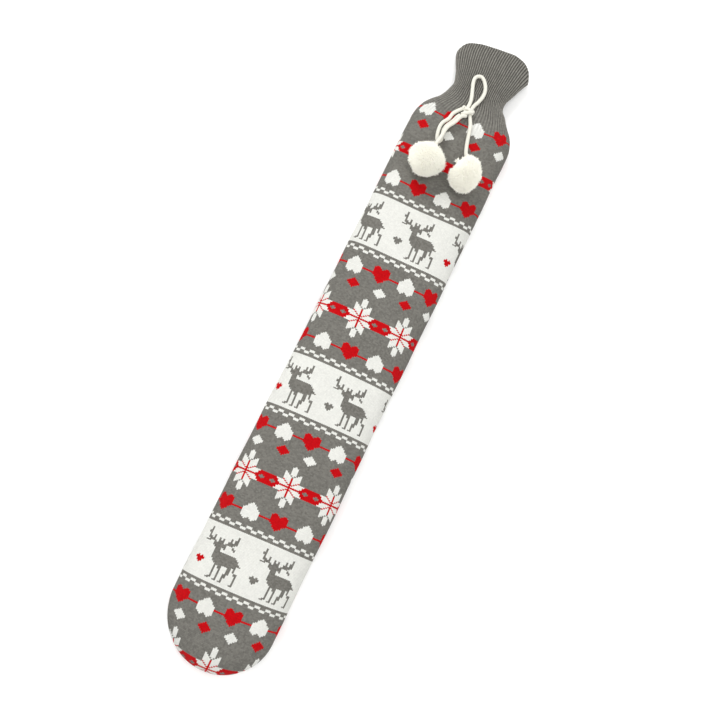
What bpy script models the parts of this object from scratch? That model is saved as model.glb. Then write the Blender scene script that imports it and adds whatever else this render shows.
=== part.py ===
"""Knitted cover of a long hot water bottle, lying on its back, with a cord bow and two pompoms.

X runs across the cover, Y along it towards the collar, Z up. The origin is under its middle, on the
surface that it lies on. The sleeve is one hollow piece, open at the ribbed collar and closed at its
round end. A cord is tied in a bow over the neck, and each of its two tails ends in a pompom.
"""

import math

import bmesh
import bpy
import numpy as np
from mathutils import Vector
from mathutils import noise

MM = 0.001
GAP = 0.3                # between pieces that touch

# ---- sleeve, in millimetres
WALL = 2.6               # knitted wall, two yarns thick
CROWN = (2.8, 2.0)       # exponents of a section's upper half: width, height
BACK = (3.5, 2.0)        # exponents of its lower half, which the surface presses flat
BODY_POINTS = 68         # points round the body
RIBBED_POINTS = 136      # points round the collar: a crest and a furrow for each of 68 ribs
HOLLOW_POINTS = 34       # points round the inner wall
RIB_DEPTH = 0.8          # crest to furrow
FINE_POINTS = 720        # of the line that a section's points are spaced along
SIDE_CROWDING = 0.75     # below 1, that line has more points at its rounded sides
LIP = 0.9                # how far the rounded rim stands past its two walls

# Sections from the round end to the neck. left, right: half widths. low: lowest point before the
# surface presses it flat. ribs: share of the rib's depth.
SECTION_COLUMNS = ("y", "left", "right", "low", "middle", "top", "ribs")
SECTIONS = (
    (-313.2, 58.2, 58.2, -2.0, 15.0, 35.2, 0.00),
    (-290.0, 58.5, 58.1, -2.0, 15.0, 35.6, 0.00),
    (-250.0, 57.8, 57.9, -2.0, 15.0, 36.0, 0.00),
    (-169.0, 57.9, 58.4, -2.0, 15.0, 36.2, 0.00),
    (-127.0, 58.3, 57.9, -2.0, 15.0, 36.0, 0.00),
    (-43.0, 57.3, 57.7, -2.0, 15.0, 36.0, 0.00),
    (43.0, 57.6, 58.0, -2.0, 15.0, 36.2, 0.00),
    (132.0, 57.7, 57.4, -2.0, 15.0, 36.0, 0.00),
    (200.0, 57.7, 57.7, -2.0, 15.0, 36.1, 0.00),
    (246.0, 58.3, 57.7, -2.0, 15.0, 36.0, 0.00),
    (259.0, 58.2, 57.4, -2.0, 15.0, 35.7, 0.00),
    (267.5, 56.6, 56.9, -2.0, 15.0, 35.2, 0.00),
    (277.0, 52.6, 53.9, -1.0, 15.0, 34.3, 0.25),
    (284.0, 47.0, 50.1, 0.0, 15.2, 33.3, 0.45),
    (291.0, 39.6, 43.7, 1.4, 15.5, 31.8, 0.65),
    (298.0, 36.0, 38.3, 2.5, 15.8, 30.7, 0.80),
    (301.5, 34.7, 36.1, 3.0, 15.9, 30.3, 0.90),
    (305.0, 33.6, 30.9, 3.5, 16.0, 29.9, 1.00),
    (312.0, 31.5, 28.9, 4.0, 16.0, 29.5, 1.00),
)

# Round end: a half round of this radius, whose tip lies a little to the right.
END_RADIUS = 58.2
END_STEPS = (14, 28, 41, 53, 64, 74, 83)   # degrees from the side towards the tip
END_SHIFT = 3.0
END_CROWN = (2.8, 2.0)

# Collar, from the neck (share 0) to its slanted rim (share 1).
COLLAR_COLUMNS = ("share", "left", "right", "low", "middle", "top")
COLLAR = (
    (0.20, 33.4, 30.1, 3.0, 15.7, 29.3),
    (0.40, 36.4, 33.5, 2.2, 15.2, 28.6),
    (0.60, 40.5, 36.4, 1.5, 14.5, 27.4),
    (0.80, 43.8, 39.3, 1.0, 13.5, 25.8),
    (0.92, 44.8, 41.4, 0.7, 12.7, 24.6),
    (1.00, 45.1, 42.8, 0.6, 12.3, 24.0),
)

# Rim's line seen from above. across: share of the half width, from the left side to the right one.
RIM_COLUMNS = ("across", "y")
RIM = (
    (-1.00, 351.0),
    (-0.93, 358.2),
    (-0.83, 361.6),
    (-0.52, 365.4),
    (-0.03, 368.6),
    (0.38, 371.0),
    (0.66, 368.8),
    (0.80, 365.4),
    (0.90, 361.8),
    (1.00, 352.0),
)

# ---- cord bow, in millimetres
CORD = 4.3               # diameter
CORD_STEP = 5.0          # between the points of a tube
SPAN_POINTS = 12         # of the smooth curve between two points of a route
KNOT_CENTRE = (-3.4, 279.2, 38.0)
KNOT_RADII = (6.4, 5.2, 3.6)
KNOT_RIDGES = 0.09       # depth of the three turns that show on it, as a share of its radius
KNOT_SLANT = 0.35        # how far those turns lean

UPPER_LOOP = (
    (-5.9, 284.8, 36.4),
    (-5.8, 290.6, 34.9),
    (-6.8, 297.7, 33.6),
    (-9.5, 306.2, 32.8),
    (-12.3, 314.5, 32.5),
    (-13.2, 320.4, 32.3),
    (-11.2, 324.6, 32.1),
    (-6.8, 325.8, 32.1),
    (-1.9, 322.2, 32.3),
    (2.6, 314.5, 32.5),
    (3.7, 306.2, 32.8),
    (2.0, 297.7, 33.6),
    (-0.5, 290.6, 34.9),
    (-1.3, 284.8, 36.4),
)
LEFT_LOOP = (
    (-11.9, 279.0, 37.5),
    (-14.4, 275.9, 37.3),
    (-17.0, 271.9, 37.7),
    (-18.1, 268.0, 38.1),
    (-18.8, 263.8, 38.3),
    (-20.6, 260.2, 38.4),
    (-22.9, 256.4, 38.5),
    (-23.9, 251.6, 38.6),
    (-23.5, 246.3, 38.6),
    (-22.4, 241.4, 38.7),
    (-20.9, 237.0, 38.7),
    (-18.5, 234.4, 38.7),
    (-16.5, 236.8, 38.7),
    (-17.2, 241.8, 38.7),
    (-18.5, 247.0, 38.6),
    (-18.6, 250.5, 38.6),
    (-17.5, 255.3, 38.5),
    (-14.9, 260.2, 38.5),
    (-13.2, 264.4, 38.4),
    (-12.1, 268.2, 38.0),
    (-10.8, 271.2, 37.6),
)
LEFT_TAIL = (
    (-4.6, 273.4, 39.8),
    (-7.0, 271.4, 41.3),
    (-9.0, 267.8, 42.6),
    (-10.3, 263.2, 43.2),
    (-12.6, 258.2, 43.3),
    (-15.4, 253.6, 43.3),
    (-17.0, 248.0, 43.4),
    (-17.3, 242.6, 43.8),
    (-17.7, 236.2, 46.0),
    (-18.3, 230.6, 50.0),
    (-19.1, 224.6, 53.0),
    (-19.9, 219.4, 54.1),
)
RIGHT_TAIL = (
    (1.3, 274.8, 37.4),
    (2.9, 272.0, 37.3),
    (4.8, 268.1, 37.9),
    (7.0, 260.9, 38.3),
    (10.2, 248.1, 38.6),
    (12.7, 239.9, 39.3),
    (14.4, 234.3, 42.5),
    (16.3, 229.8, 47.0),
    (18.2, 226.4, 50.2),
    (19.1, 224.7, 51.3),
)

# ---- pompoms, in millimetres
# centre, outer radii, and the point that the cord comes in from
POMPOM_COLUMNS = ("name", "centre", "radii", "cord_from")
POMPOMS = (
    ("pompom_left", (-21.7, 204.6, 54.4), (21.0, 18.8, 19.4), LEFT_TAIL[-3]),
    ("pompom_right", (23.3, 208.7, 54.0), (17.3, 20.8, 19.0), RIGHT_TAIL[-3]),
)
CORE = 0.76              # core's share of the outer radius; the rest is cut yarn
CORE_SUBDIVISIONS = 3
LOCKS = 130              # most locks on one pompom
LOCK_TIP = 0.7           # a lock's tip as a share of its root
LOCK_UNEVEN = 0.05       # how unevenly the yarn is cut, as a share of the radius
CUT_SCALE = 9.0          # of that unevenness, per radius
SCATTER_SCALE = 40.0     # of the scattered order in which locks are set
ENTRY_ANGLE = 27.0       # degrees round the cord that stay free of locks

# name, sRGB colour, roughness
WOOL = ("grey_wool", (0.47, 0.46, 0.44), 0.95)
COTTON = ("cream_yarn", (0.93, 0.92, 0.87), 0.95)


def clear_scene():
    for old in list(bpy.data.objects):
        bpy.data.objects.remove(old, do_unlink=True)


def to_linear(value):
    return value / 12.92 if value <= 0.04045 else ((value + 0.055) / 1.055) ** 2.4


def make_material(name, colour, roughness):
    material = bpy.data.materials.get(name) or bpy.data.materials.new(name)
    material.use_nodes = True
    shader = material.node_tree.nodes["Principled BSDF"]
    shader.inputs["Base Color"].default_value = [to_linear(c) for c in colour] + [1.0]
    shader.inputs["Roughness"].default_value = roughness
    shader.inputs["Metallic"].default_value = 0.0
    return material


def link_mesh(name, bm, material):
    """One closed mesh as an object of its own, with its faces pointing out."""
    bmesh.ops.recalc_face_normals(bm, faces=bm.faces)
    mesh = bpy.data.meshes.new(name)
    bm.to_mesh(mesh)
    bm.free()
    mesh.shade_smooth()
    piece = bpy.data.objects.new(name, mesh)
    piece.data.materials.append(make_material(*material))
    bpy.context.scene.collection.objects.link(piece)
    return piece


def rows_of(table, columns):
    return [dict(zip(columns, row)) for row in table]


# ---------------------------------------------------------------- sleeve


def section_height(row, x, upper, inset=0.0):
    """Height of a section's upper or lower line at x, before the surface presses it flat."""
    half = (row["left"] if x < 0 else row["right"]) - inset
    share = min(abs(x) / half, 1.0)
    wide, tall = CROWN if upper else BACK
    rise = (1.0 - share**wide) ** (1.0 / tall)
    if upper:
        return row["middle"] + (row["top"] - inset - row["middle"]) * rise
    return row["middle"] - (row["middle"] - row["low"] - inset) * rise


def section_loop(row, count, inset=0.0, rib=0.0):
    """Points of one section at equal steps round it, from the middle of the back anticlockwise."""
    line = []
    for k in range(FINE_POINTS):
        turn = 2.0 * math.pi * k / FINE_POINTS - math.pi / 2.0
        half = (row["right"] if math.cos(turn) > 0 else row["left"]) - inset
        x = half * math.copysign(abs(math.cos(turn)) ** SIDE_CROWDING, math.cos(turn))
        z = max(section_height(row, x, math.sin(turn) > 0, inset), inset)
        line.append((x, z))
    line = np.array(line + line[:1])
    run = np.concatenate([[0.0], np.cumsum(np.linalg.norm(np.diff(line, axis=0), axis=1))])
    at = run[-1] * np.arange(count) / count
    points = np.stack([np.interp(at, run, line[:, 0]), np.interp(at, run, line[:, 1])], axis=1)
    if rib:
        ahead = np.roll(points, -1, axis=0) - np.roll(points, 1, axis=0)
        out = np.stack([ahead[:, 1], -ahead[:, 0]], axis=1)
        out /= np.linalg.norm(out, axis=1)[:, None]
        sign = np.where(np.arange(count) % 2 == 0, -1.0, 1.0)
        points = points + out * (sign * rib * RIB_DEPTH / 2.0)[:, None]
        points[:, 1] = np.maximum(points[:, 1], inset)
    return points


def add_ring(bm, points, ys):
    return [bm.verts.new((x * MM, y * MM, z * MM)) for (x, z), y in zip(points, ys)]


def bridge(bm, first, second):
    """Joins two rings. One may have twice the other's points."""
    if len(first) < len(second):
        first, second = second, first
    count = len(second)
    if len(first) == count:
        for k in range(count):
            after = (k + 1) % count
            bm.faces.new((first[k], first[after], second[after], second[k]))
        return
    for k in range(count):
        after = (k + 1) % count
        left, centre, right = first[2 * k], first[2 * k + 1], first[(2 * k + 2) % len(first)]
        bm.faces.new((left, centre, second[k]))
        bm.faces.new((centre, second[after], second[k]))
        bm.faces.new((centre, right, second[after]))


def rim_at(across):
    table = rows_of(RIM, RIM_COLUMNS)
    return np.interp(across, [r["across"] for r in table], [r["y"] for r in table])


def collar_ring(bm, row, count, inset, lip, rib):
    """A ring of the collar, which follows the slanted rim more the nearer it lies to it."""
    points = section_loop(row, count, inset, rib)
    neck = SECTIONS[-1][0]
    half = np.where(points[:, 0] < 0, row["left"], row["right"])
    reach = rim_at(np.clip(points[:, 0] / half, -1.0, 1.0)) - LIP - neck
    return add_ring(bm, points, neck + reach * row["share"] + lip)


def end_rings(bm, count, inset):
    """Rings of the round end and its tip."""
    start = rows_of(SECTIONS, SECTION_COLUMNS)[0]
    radius = END_RADIUS - inset
    rings = []
    for degrees in END_STEPS:
        along = math.sin(math.radians(degrees))
        wide, tall = END_CROWN
        swell = (1.0 - along**wide) ** (1.0 / tall)
        shift = END_SHIFT * (1.0 - (1.0 - along) ** 2)
        half = radius * math.cos(math.radians(degrees))
        row = dict(start)
        row["left"] = row["right"] = half + inset
        row["top"] = row["middle"] + (start["top"] - inset - row["middle"]) * swell + inset
        row["low"] = row["middle"] - (row["middle"] - start["low"] - inset) * swell - inset
        points = section_loop(row, count, inset)
        points[:, 0] += shift
        rings.append(add_ring(bm, points, [start["y"] - radius * along] * count))
    tip = bm.verts.new((END_SHIFT * MM, (start["y"] - radius) * MM, start["middle"] * MM))
    return rings, tip


def close_end(bm, ring, tip):
    for k in range(len(ring)):
        bm.faces.new((ring[k], ring[(k + 1) % len(ring)], tip))


def make_sleeve():
    """The hollow sleeve: outer wall from tip to rim, rounded lip, inner wall back to its own tip."""
    bm = bmesh.new()
    sections = rows_of(SECTIONS, SECTION_COLUMNS)
    collar = rows_of(COLLAR, COLLAR_COLUMNS)
    outer, tip = end_rings(bm, BODY_POINTS, 0.0)
    outer.reverse()
    close_end(bm, outer[0], tip)
    for row in sections:
        count = RIBBED_POINTS if row["ribs"] else BODY_POINTS
        points = section_loop(row, count, 0.0, row["ribs"])
        outer.append(add_ring(bm, points, [row["y"]] * count))
    for row in collar:
        outer.append(collar_ring(bm, row, RIBBED_POINTS, 0.0, 0.0, 1.0))
    outer.append(collar_ring(bm, collar[-1], BODY_POINTS, WALL / 2.0, LIP, 0.0))
    inner = [collar_ring(bm, row, HOLLOW_POINTS, WALL, 0.0, 0.0) for row in reversed(collar)]
    for row in reversed(sections):
        points = section_loop(row, HOLLOW_POINTS, WALL)
        inner.append(add_ring(bm, points, [row["y"]] * HOLLOW_POINTS))
    inner_end, inner_tip = end_rings(bm, HOLLOW_POINTS, WALL)
    inner += inner_end
    close_end(bm, inner[-1], inner_tip)
    rings = outer + inner
    for first, second in zip(rings, rings[1:]):
        bridge(bm, first, second)
    return link_mesh("sleeve", bm, WOOL)


def sleeve_top(x, y):
    """Height of the sleeve's upper side at a point of its body or neck."""
    table = rows_of(SECTIONS, SECTION_COLUMNS)
    ys = [row["y"] for row in table]
    row = {c: float(np.interp(y, ys, [r[c] for r in table])) for c in SECTION_COLUMNS}
    return section_height(row, x, True)


# ---------------------------------------------------------------- cord bow


def smooth_route(points, step):
    """Points at equal steps along one smooth curve through the given ones."""
    ends = [2 * Vector(points[0]) - Vector(points[1]), 2 * Vector(points[-1]) - Vector(points[-2])]
    knots = [ends[0]] + [Vector(p) for p in points] + [ends[1]]
    fine = []
    for a, b, c, d in zip(knots, knots[1:], knots[2:], knots[3:]):
        slope = c - a
        bend = 2 * a - 5 * b + 4 * c - d
        twist = 3 * b - a - 3 * c + d
        for k in range(SPAN_POINTS):
            t = k / SPAN_POINTS
            fine.append(b + 0.5 * (slope * t + bend * t**2 + twist * t**3))
    fine = np.array([list(p) for p in fine] + [list(knots[-2])])
    run = np.concatenate([[0.0], np.cumsum(np.linalg.norm(np.diff(fine, axis=0), axis=1))])
    count = max(int(round(run[-1] / step)), 2)
    at = np.linspace(0.0, run[-1], count + 1)
    return np.stack([np.interp(at, run, fine[:, k]) for k in range(3)], axis=1)


def make_cord(name, points, step=CORD_STEP):
    """A round cord along a route, with flat ends."""
    curve = bpy.data.curves.new(name, "CURVE")
    curve.dimensions = "3D"
    curve.bevel_depth = CORD / 2.0 * MM
    curve.bevel_resolution = 2
    curve.use_fill_caps = True
    route = smooth_route(points, step)
    spline = curve.splines.new("POLY")
    spline.points.add(len(route) - 1)
    for point, at in zip(spline.points, route):
        point.co = (at[0] * MM, at[1] * MM, at[2] * MM, 1.0)
    piece = bpy.data.objects.new(name, curve)
    piece.data.materials.append(make_material(*COTTON))
    bpy.context.scene.collection.objects.link(piece)
    return piece


def make_knot():
    """The bow's knot: a flat egg with the turns of the cord across it."""
    bm = bmesh.new()
    bmesh.ops.create_icosphere(bm, subdivisions=3, radius=1.0)
    for vert in bm.verts:
        way = vert.co.normalized()
        turns = 1.0 - KNOT_RIDGES * 0.5 * (1.0 + math.cos(3.0 * math.pi * (way.x + KNOT_SLANT * way.y)))
        at = [KNOT_CENTRE[k] + KNOT_RADII[k] * way[k] * turns for k in range(3)]
        vert.co = Vector(at) * MM
    return link_mesh("knot", bm, COTTON)


# ---------------------------------------------------------------- pompoms


def make_pompom(name, centre, radii, cord_from):
    """A ball of cut yarn: a core with tapering locks, shorter where it rests on the sleeve."""
    centre = Vector(centre)
    entry = (Vector(cord_from) - centre).normalized()
    bm = bmesh.new()
    bmesh.ops.create_icosphere(bm, subdivisions=CORE_SUBDIVISIONS, radius=1.0)
    chosen = []
    taken = set()
    for face in sorted(bm.faces, key=lambda f: noise.noise(f.calc_center_median() * SCATTER_SCALE)):
        way = face.calc_center_median().normalized()
        beside = {f for edge in face.edges for f in edge.link_faces}
        near_cord = way.angle(entry) < math.radians(ENTRY_ANGLE)
        if near_cord or taken & beside or len(chosen) >= LOCKS:
            continue
        taken.add(face)
        chosen.append(face)
    ways = {}
    for vert in bm.verts:
        way = vert.co.normalized()
        ways[vert] = way
        vert.co = Vector([centre[k] + radii[k] * CORE * way[k] for k in range(3)])
    for face in chosen:
        middle = sum((ways[v] for v in face.verts), Vector()).normalized()
        cut = 1.0 + LOCK_UNEVEN * noise.noise(middle * CUT_SCALE)
        roots = list(face.verts)
        tips = []
        for root in roots:
            way = (middle + (ways[root] - middle) * LOCK_TIP).normalized()
            tip = Vector([centre[k] + radii[k] * cut * way[k] for k in range(3)])
            floor = sleeve_top(tip.x, tip.y) + GAP
            if tip.z < floor:
                tip = root.co.lerp(tip, (root.co.z - floor) / (root.co.z - tip.z))
            tips.append(bm.verts.new(tip))
        bm.faces.remove(face)
        bm.faces.new(tips)
        for k in range(3):
            after = (k + 1) % 3
            bm.faces.new((roots[k], roots[after], tips[after], tips[k]))
    for vert in bm.verts:
        vert.co *= MM
    return link_mesh(name, bm, COTTON)


def main():
    clear_scene()
    make_sleeve()
    make_knot()
    make_cord("loop_upper", UPPER_LOOP)
    make_cord("loop_left", LEFT_LOOP)
    make_cord("tail_left", LEFT_TAIL)
    make_cord("tail_right", RIGHT_TAIL)
    for row in rows_of(POMPOMS, POMPOM_COLUMNS):
        make_pompom(**row)


main()
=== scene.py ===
# Knitted cover of a long hot water bottle: real stitches in three yarns, a knitted cord tied in a bow,
# and two pompoms of cut yarn. Lengths are in millimetres up to the moment a mesh is made.

import math

import bpy
import numpy as np
from mathutils import Matrix


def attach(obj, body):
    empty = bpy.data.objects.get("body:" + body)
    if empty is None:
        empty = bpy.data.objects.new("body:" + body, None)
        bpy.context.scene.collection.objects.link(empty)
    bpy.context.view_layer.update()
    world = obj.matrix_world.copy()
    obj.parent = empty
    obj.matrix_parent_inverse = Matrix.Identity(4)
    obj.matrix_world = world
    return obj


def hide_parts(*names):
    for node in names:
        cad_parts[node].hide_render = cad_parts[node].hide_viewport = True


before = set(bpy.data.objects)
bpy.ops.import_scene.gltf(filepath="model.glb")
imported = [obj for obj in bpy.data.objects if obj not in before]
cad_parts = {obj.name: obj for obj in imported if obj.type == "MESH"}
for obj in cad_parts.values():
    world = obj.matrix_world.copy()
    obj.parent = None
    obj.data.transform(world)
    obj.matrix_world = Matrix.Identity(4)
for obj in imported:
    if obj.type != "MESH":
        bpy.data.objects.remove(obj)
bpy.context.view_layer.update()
mm = 0.001
splineSteps = 12               # points between two given ones, before a route is cut into equal steps


# Small helpers


def toLinear(hexColour):
    channels = [int(hexColour[k:k + 2], 16) / 255 for k in (1, 3, 5)]
    return [c / 12.92 if c <= 0.04045 else ((c + 0.055) / 1.055) ** 2.4 for c in channels] + [1.0]


def addNode(tree, kind, links=None, **settings):
    # links: socket -> an earlier node, which gives its first output, or one output, or a plain value
    node = tree.nodes.new(kind)
    for name, value in settings.items():
        setattr(node, name, value)
    for socket, source in (links or {}).items():
        source = source.outputs[0] if isinstance(source, bpy.types.Node) else source
        if isinstance(source, bpy.types.NodeSocket):
            tree.links.new(source, node.inputs[socket])
        else:
            node.inputs[socket].default_value = source
    return node


def runOf(line):
    # how far each point is along its line
    return np.concatenate([[0.0], np.cumsum(np.linalg.norm(np.diff(line, axis=0), axis=1))])


def tableAt(table, column, at):
    # table rows are (place, value, value, ...), with rising places
    places = [row[0] for row in table]
    values = [row[column] for row in table]
    return np.interp(at, places, values)


def softened(values, spread):
    # moving average with rounded weights, so that a table's corners don't show as creases
    reach = int(3 * spread)
    weights = np.exp(-0.5 * (np.arange(-reach, reach + 1) / spread) ** 2)
    padded = np.pad(values, reach, mode="reflect", reflect_type="odd")
    return np.convolve(padded, weights / weights.sum(), mode="valid")


def smoothRoute(points, step):
    # points at equal steps along one smooth curve through the given ones
    points = np.array(points, float)
    first, last = 2 * points[0] - points[1], 2 * points[-1] - points[-2]
    knots = np.vstack([first, points, last])
    fine = []
    for a, b, c, d in zip(knots, knots[1:], knots[2:], knots[3:]):
        for t in np.arange(splineSteps) / splineSteps:
            bend = (2 * a - 5 * b + 4 * c - d) * t**2
            twist = (3 * b - a - 3 * c + d) * t**3
            fine.append(b + 0.5 * ((c - a) * t + bend + twist))
    fine = np.array(fine + [points[-1]])
    run = runOf(fine)
    at = np.linspace(0.0, run[-1], max(int(round(run[-1] / step)), 2) + 1)
    return np.stack([np.interp(at, run, fine[:, k]) for k in range(3)], axis=1)


def makeMesh(name, points, faces, materials, kinds, normals=None, maps=None):
    # points in millimetres; kinds: a material's number per face; maps: name -> a value per corner
    used, corners = np.unique(np.asarray(faces, np.int32), return_inverse=True)
    corners = corners.reshape(len(kinds), -1)
    mesh = bpy.data.meshes.new(name)
    mesh.vertices.add(len(used))
    mesh.vertices.foreach_set("co", (np.asarray(points)[used] * mm).astype(np.float32).ravel())
    mesh.loops.add(corners.size)
    mesh.loops.foreach_set("vertex_index", corners.astype(np.int32).ravel())
    mesh.polygons.add(len(corners))
    mesh.polygons.foreach_set("loop_start", np.arange(0, corners.size, corners.shape[1], dtype=np.int32))
    for material in materials:
        mesh.materials.append(material)
    mesh.polygons.foreach_set("material_index", np.asarray(kinds, np.int32))
    mesh.polygons.foreach_set("use_smooth", np.ones(len(corners), bool))
    for mapName, places in (maps or {}).items():
        layer = mesh.uv_layers.new(name=mapName)
        layer.data.foreach_set("uv", np.asarray(places, np.float32).ravel())
    mesh.update(calc_edges=True)
    mesh.validate(clean_customdata=False)
    if normals is not None:
        mesh.normals_split_custom_set_from_vertices(np.asarray(normals)[used].astype(np.float32))
    piece = bpy.data.objects.new(name, mesh)
    bpy.context.scene.collection.objects.link(piece)
    return piece


# Camera, at the photograph's place

photoView = {
    "target": (10.2, -15.1, 18.0),
    "distance": 1100.0,
    "leanDegrees": 9.25,       # the camera stands this far towards the round end
    "rollDegrees": 26.2,
    "lens": 51.76,             # on a 36 mm sensor
}


def makeCamera():
    lean, roll = (math.radians(photoView[k]) for k in ("leanDegrees", "rollDegrees"))
    back = np.array([0.0, -math.sin(lean), math.cos(lean)])
    across = np.array([1.0, 0.0, 0.0])
    along = np.cross(back, across)
    right = math.cos(roll) * across + math.sin(roll) * along
    up = np.cross(back, right)
    camera = bpy.data.objects.new("camera", bpy.data.cameras.new("camera"))
    camera.data.lens = photoView["lens"]
    camera.data.sensor_width = 36.0
    place = (np.array(photoView["target"]) + photoView["distance"] * back) * mm
    rows = [[right[k], up[k], back[k], place[k]] for k in range(3)]
    camera.matrix_world = Matrix(rows + [[0.0, 0.0, 0.0, 1.0]])
    camera.data.clip_start = 0.05
    camera.data.clip_end = 20.0
    bpy.context.scene.collection.objects.link(camera)
    bpy.context.scene.camera = camera


makeCamera()
bpy.context.scene.view_settings.view_transform = "Standard"     # the photograph's whites are plain white
print("camera set")


# Yarns

yarnLook = {
    "grey": "#75736D",
    "white": "#E1E1DB",
    "red": "#BC0A12",
    "cream": "#DAD8CD",
    "cutEndsPaintedLight": "#F9F7EC",      # the same yarn, painted paler: painted light that lifts the shade between the pompoms' strands
    "roughness": 0.92,         # spun staple fibre scatters light almost evenly
    "fuzz": 0.04,              # sheen of the loose fibre ends
    "ribPaintedShadow": 1.10,         # painted shadow: how much darker the furrows between the collar's ribs are coloured than their crests
    "ribPaintedHighlight": 0.60,          # and painted highlight: how much paler those crests are coloured than flat cloth
    "specular": 0.05,          # yarn has hardly any gloss
    "ribsFrom": -80.0,         # row at which the ribs' painted shadow and highlight begin to show
    "ribsGrow": 0.035,         # how much more of them shows with each row towards the rim
    "stitchWide": 2.0,         # mm, one wale
    "hairsPerMm": 2.6,         # clumps of fibre ends; single ones are too fine to show
    "cloudsPerMm": 0.045,      # one patch of slightly different shade in 22 mm
    "reliefDepth": 0.35,       # mm
    "plyRelief": 0.12,         # shares of that depth
    "hairRelief": 0.5,
    "cloudShade": 0.10,        # how much each of them changes the shade
    "hairShade": 0.25,
}
cordLook = {
    "fuzz": 0.12,
    "fibreDepth": 0.2,         # mm
    "glow": 0.15,              # light that soaks into loose pale yarn and comes out again
    "glowDepth": 2.0,          # mm
}
maths = "ShaderNodeMath"


def matShader(name, colour, sheen):
    material = bpy.data.materials.new(name)
    material.use_nodes = True
    tree = material.node_tree
    shader = tree.nodes["Principled BSDF"]
    shader.inputs["Roughness"].default_value = yarnLook["roughness"]
    shader.inputs["Specular IOR Level"].default_value = yarnLook["specular"]
    shader.inputs["Sheen Weight"].default_value = sheen
    shader.inputs["Sheen Roughness"].default_value = 0.5
    shader.inputs["Base Color"].default_value = toLinear(colour)
    return material, tree, shader


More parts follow.
